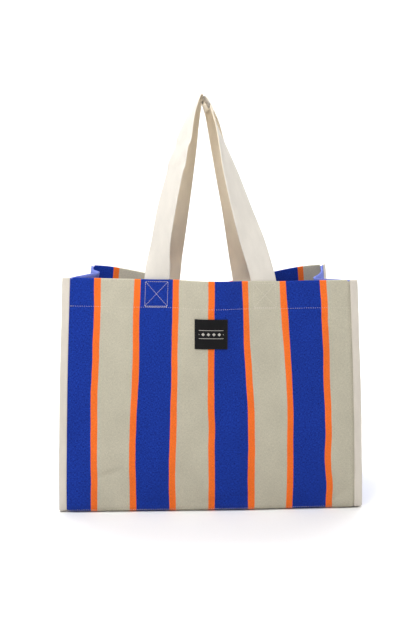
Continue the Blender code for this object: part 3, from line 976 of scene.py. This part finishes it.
def ribbed_shader(name, across_pitch, along_pitch, relief):
    """Woven tape or webbing: ribs along it, with slanted floats across each; and its tone, with painted
    shade in the grooves between ribs and floats, times a random blotchy tone.
    """
    shader = Shader(name, 0.85, 0.06)
    u, v, _, vector = shader.cloth()
    rib = shader.math("COSINE", shader.math("MULTIPLY", u, pi / across_pitch))
    rib = shader.math("ABSOLUTE", rib)
    slant = shader.math("ADD", v, shader.math("PINGPONG", u, across_pitch))
    floats = shader.math("SINE", shader.math("MULTIPLY", slant, pi / along_pitch))
    floats = shader.math("ABSOLUTE", floats)
    grain = shader.noise(vector, 1.0, (900, 500, 1), 3.0)
    height = shader.math("ADD", shader.math("MULTIPLY", rib, 0.8), shader.math("MULTIPLY", floats, 0.5))
    shader.bump(shader.math("ADD", height, shader.math("MULTIPLY", grain, 0.6)), relief)
    blotch = shader.noise(vector, 1.0, (60, 25, 1), 3.0)
    # Painted shade: darker in the grooves between the ribs and between the floats
    rib_groove_shade = shader.ramp(rib, 0.90, 1.02, 0.0, 0.6)
    float_gap_shade = shader.ramp(floats, 0.94, 1.02, 0.0, 0.7)
    tone = shader.math("MULTIPLY", rib_groove_shade, float_gap_shade)
    return shader, shader.math("MULTIPLY", tone, shader.ramp(blotch, 0.95, 1.04, 0.3, 0.7, False))


def tape_material():
    shader, tone = ribbed_shader("binding_tape_cloth", 0.0011, 0.0009, 0.00012)
    shader.base_colour(shader.plain(NATURAL), tone)
    return shader.material


def webbing_material():
    """Cream webbing whose inner face is painted warmer, as painted warm shade from light bounced
    between the straps.
    """
    shader, tone = ribbed_shader("webbing_cloth", 0.0016, 0.0016, 0.00035)
    through = shader.cloth()[2]
    # The inner face gets painted warm shade in place of the light bounced between the straps
    inner = shader.math("LESS_THAN", through, 0.0)
    shader.base_colour(shader.mix(inner, CREAM, PAINTED_SHADE_CREAM), tone)
    return shader.material


# The label's pattern: half the diamonds' spacing, their half height, the lines' height over
# the middle and half their thickness, and how far the pattern reaches to each side
DIAMOND_CELL = 0.004
DIAMOND_SIZE = 0.0026
LINE_AT, LINE_HALF = 0.0062, 0.00035
PATTERN_REACH = 0.0185


def label_material():
    """A black woven label with a small row of pale diamonds between two thin lines."""
    shader = Shader("label_cloth", 0.7, 0.1)
    u, v, _, vector = shader.cloth()
    row = shader.math("ABSOLUTE", shader.math("SUBTRACT", v, LABEL_H / 2))
    cell = shader.math("PINGPONG", shader.math("ADD", u, 12 * DIAMOND_CELL), DIAMOND_CELL)
    from_middle = shader.math("ADD", row, shader.math("SUBTRACT", DIAMOND_CELL, cell))
    diamond = shader.math("LESS_THAN", from_middle, DIAMOND_SIZE)
    from_line = shader.math("ABSOLUTE", shader.math("SUBTRACT", row, LINE_AT))
    line = shader.math("LESS_THAN", from_line, LINE_HALF)
    inside = shader.math("LESS_THAN", shader.math("ABSOLUTE", u), PATTERN_REACH)
    mark = shader.math("MULTIPLY", shader.math("MAXIMUM", diamond, line), inside)
    over = shader.weave(u, v, 0.0004)[0]
    grain = shader.noise(vector, 1.0, (1200, 1200, 1), 2.0)
    tone = shader.ramp(grain, 0.8, 1.2, 0.3, 0.7)
    shader.base_colour(shader.mix(mark, LABEL_BLACK, LABEL_PALE), tone)
    shader.bump(shader.math("ADD", over, grain), 0.00008)
    return shader.material


def grainy_material(name, colour, roughness, sheen, scale, tones):
    """An even colour with a fine grain; and the shader, for more."""
    shader = Shader(name, roughness, sheen)
    coordinates = shader.node("ShaderNodeTexCoord")
    grain = shader.noise(coordinates.outputs["Object"], 1.0, (scale, scale, scale), 2.0)
    shader.base_colour(shader.plain(colour), shader.ramp(grain, *tones))
    return shader, grain


def thread_material(name, colour):
    shader, grain = grainy_material(name, colour, 0.7, 0.2, 2600, (0.85, 1.1, 0.3, 0.7))
    shader.bump(grain, 0.00006)
    return shader.material


# Stage, light and camera

UNDER_BASE = 0.0003
PAPER = (0.92, 0.92, 0.92)
FLOOR_FRONT, WALL_BACK, WALL_TOP, HALF_WIDTH, SWEEP = -4.0, 2.2, 4.0, 4.0, 0.6


def backdrop():
    """A pale floor that curves up into a wall behind the bag."""
    run = [(FLOOR_FRONT, 0.0)]
    run += [(WALL_BACK - SWEEP + SWEEP * sin(a), SWEEP * (1 - cos(a)))
            for a in np.linspace(0, pi / 2, 17)]
    run += [(WALL_BACK, WALL_TOP)]
    verts = [(x, y, z - UNDER_BASE) for y, z in run for x in (-HALF_WIDTH, HALF_WIDTH)]
    faces = [(2 * k, 2 * k + 1, 2 * k + 3, 2 * k + 2) for k in range(len(run) - 1)]
    made = mesh_object("backdrop", np.array(verts), faces)
    shader, _ = grainy_material("backdrop_paper", PAPER, 0.9, 0.0, 300, (0.99, 1.01))
    made.data.materials.append(shader.material)


def area_light(name, place, target, size, power):
    data = bpy.data.lights.new(name, "AREA")
    data.shape = "RECTANGLE"
    data.size, data.size_y = size
    data.energy = power
    made = bpy.data.objects.new(name, data)
    made.location = place
    made.rotation_euler = (Vector(target) - Vector(place)).to_track_quat("-Z", "Y").to_euler()
    bpy.context.scene.collection.objects.link(made)


# Name, place, point it faces, size, watts
LIGHTS = (
    ("key", (-0.32, -0.62, 1.02), (-0.05, 0, 0.35), (0.5, 0.5), 7.0),
    ("overhead", (0.0, -0.1, 2.3), (0, 0, 0.3), (2.0, 1.6), 17),
    ("front_left", (-1.9, -2.2, 1.2), (0, 0, 0.3), (1.6, 1.6), 3.4),
    ("right_rim", (1.9, -0.35, 1.1), (0, 0, 0.5), (1.0, 1.0), 13),
    ("left_rim", (-1.9, -0.45, 1.1), (0, 0, 0.5), (1.0, 1.0), 6),
    ("wall_wash", (0, 1.2, 2.6), (0, 2.1, 0.4), (3.0, 1.0), 90),
)
WORLD_STRENGTH = 0.12
CAMERA_AT = (-0.038, -1.281, 0.520)
CAMERA_DOWN, CAMERA_LEFT = radians(10.2), radians(-1.6)
LENS = 47.3


def light_scene():
    world = bpy.data.worlds.new("studio")
    world.use_nodes = True
    world.node_tree.nodes["Background"].inputs["Color"].default_value = (1.0, 1.0, 1.0, 1)
    world.node_tree.nodes["Background"].inputs["Strength"].default_value = WORLD_STRENGTH
    bpy.context.scene.world = world
    for light in LIGHTS:
        area_light(*light)
    bpy.context.scene.view_settings.view_transform = "Standard"


def make_camera():
    data = bpy.data.cameras.new("camera")
    data.lens = LENS
    data.sensor_width = 36
    data.clip_end = 50
    made = bpy.data.objects.new("camera", data)
    made.location = CAMERA_AT
    made.rotation_euler = (pi / 2 - CAMERA_DOWN, 0, CAMERA_LEFT)
    bpy.context.scene.collection.objects.link(made)
    bpy.context.scene.camera = made


def build():
    canvas = canvas_material()
    natural = thread_material("natural_sewing_thread", NATURAL)
    body_piece(canvas)
    tape = tape_material()
    plain = plain_canvas_material()
    webbing = webbing_material()
    for side in (LEFT, RIGHT):
        gusset_piece(side, plain)
        binding_piece(side, tape)
    for wall in (FRONT, BACK):
        handle_piece(wall, webbing)
    label_piece(label_material())
    all_stitches(natural, thread_material("black_sewing_thread", THREAD_BLACK))


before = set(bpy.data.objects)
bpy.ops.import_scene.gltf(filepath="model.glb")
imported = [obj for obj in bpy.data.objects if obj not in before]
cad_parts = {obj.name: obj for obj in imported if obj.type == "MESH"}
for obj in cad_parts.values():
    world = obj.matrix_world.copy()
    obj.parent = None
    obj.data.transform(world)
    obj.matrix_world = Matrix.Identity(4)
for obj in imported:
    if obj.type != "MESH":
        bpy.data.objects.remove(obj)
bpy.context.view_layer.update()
build()
backdrop()
light_scene()
make_camera()
